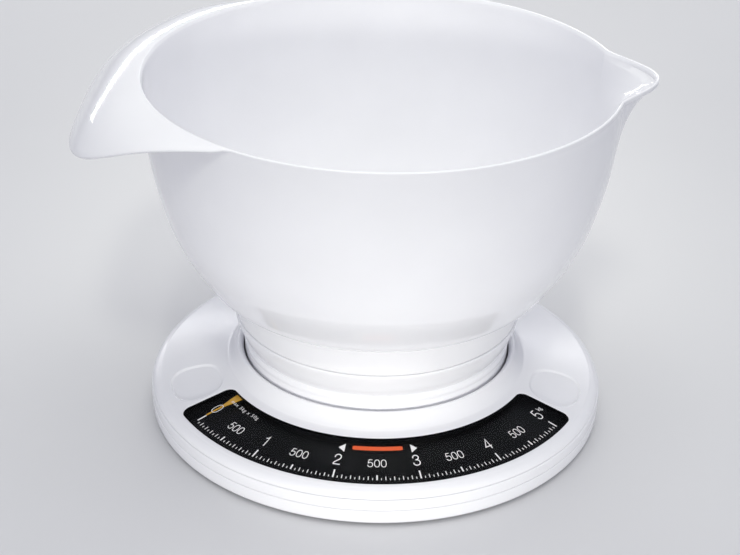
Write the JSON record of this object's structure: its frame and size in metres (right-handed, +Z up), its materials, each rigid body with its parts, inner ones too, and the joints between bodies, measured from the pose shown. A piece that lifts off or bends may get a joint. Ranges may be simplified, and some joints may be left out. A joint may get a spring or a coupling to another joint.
{
  "type": "kitchen scale",
  "caption": "Mechanical kitchen scale: round base with a turning dial ring and curved window, sinking spring platform, and a lift-off mixing bowl with wing handle and spout.",
  "frame": {"origin": "centre of the round base, on the surface that its feet stand on", "axes": "+Z up; -Y is the front, where the dial window is; the wing handle is on -X and the spout on +X"},
  "size_m": [0.2753, 0.23, 0.1805],
  "materials": {
    "base_plastic": "gloss",
    "cover_plastic": "gloss",
    "platform_plastic": "gloss",
    "bowl_plastic": "gloss",
    "inner_plastic": "matte",
    "foot_rubber": "matte",
    "steel": "brushed",
    "screw_steel": "zinc plated",
    "spring_steel": "oiled",
    "brass": "satin",
    "lens": "clear, polished",
    "dial_black": "satin black",
    "pointer_gold": "gold paint"
  },
  "bodies": {
    "base": {"bottom_pan": "base_plastic", "base_ring": "base_plastic", "foot_1": "foot_rubber", "foot_2": "foot_rubber", "foot_3": "foot_rubber", "foot_4": "foot_rubber", "pan_screw_1": "screw_steel", "pan_screw_2": "screw_steel", "pan_screw_3": "screw_steel", "pan_screw_4": "screw_steel", "frame_plate": "steel", "frame_screw_1": "screw_steel", "frame_screw_2": "screw_steel", "frame_screw_3": "screw_steel", "guide_tube": "steel", "guide_bush_lower": "brass", "guide_bush_upper": "brass", "calibration_nut": "inner_plastic", "hub_circlip": "steel", "bearing_bracket": "steel", "bracket_screw_1": "screw_steel", "bracket_screw_2": "screw_steel", "bearing_bush_front": "brass", "bearing_bush_rear": "brass"},
    "dial_ring": {"dial_cover": "cover_plastic", "dial_lens": "lens", "dial_plate": "dial_black", "dial_plate_screw_1": "screw_steel", "dial_plate_screw_2": "screw_steel", "dial_plate_screw_3": "screw_steel", "cover_retainer": "inner_plastic"},
    "platform": {"platform_drum": "platform_plastic", "stem": "steel", "stem_screw": "screw_steel", "rack": "brass", "rack_screw_1": "screw_steel", "rack_screw_2": "screw_steel", "main_spring": "spring_steel"},
    "bowl": {"bowl": "bowl_plastic"},
    "transfer_shaft": {"transfer_shaft": "steel", "spur_pinion": "brass", "bevel_pinion": "brass"},
    "pointer": {"pointer_hub": "brass", "pointer_arm": "pointer_gold"}
  },
  "joints": [
    {"name": "dial_zero_turn", "type": "hinge", "parent": "base", "child": "dial_ring", "pos_m": [0, 0, 0.02], "axis": [0, 0, 1], "range_deg": [-5, 5]},
    {"name": "platform_press", "type": "slide", "parent": "base", "child": "platform", "axis": [0, 0, -1], "range_m": [0, 0.00898], "stiffness_N_per_m": 5450, "springref_m": -0.0012, "deforming": ["main_spring"]},
    {"name": "bowl_lift", "type": "slide", "parent": "platform", "child": "bowl", "axis": [0, 0, 1], "range_m": [0, 0.06]},
    {"name": "transfer_shaft_spin", "type": "hinge", "parent": "base", "child": "transfer_shaft", "pos_m": [0, 0.02, 0.0175], "axis": [0, -1, 0], "range_deg": [0, 128.6]},
    {"name": "pointer_turn", "type": "hinge", "parent": "base", "child": "pointer", "pos_m": [0, 0, 0.025], "axis": [0, 0, 1], "range_deg": [0, 112.6]}
  ],
  "couplings": [
    {"joint": "transfer_shaft_spin", "follows": "platform_press", "rad_per_m": 250},
    {"joint": "pointer_turn", "follows": "platform_press", "rad_per_m": 218.75}
  ]
}
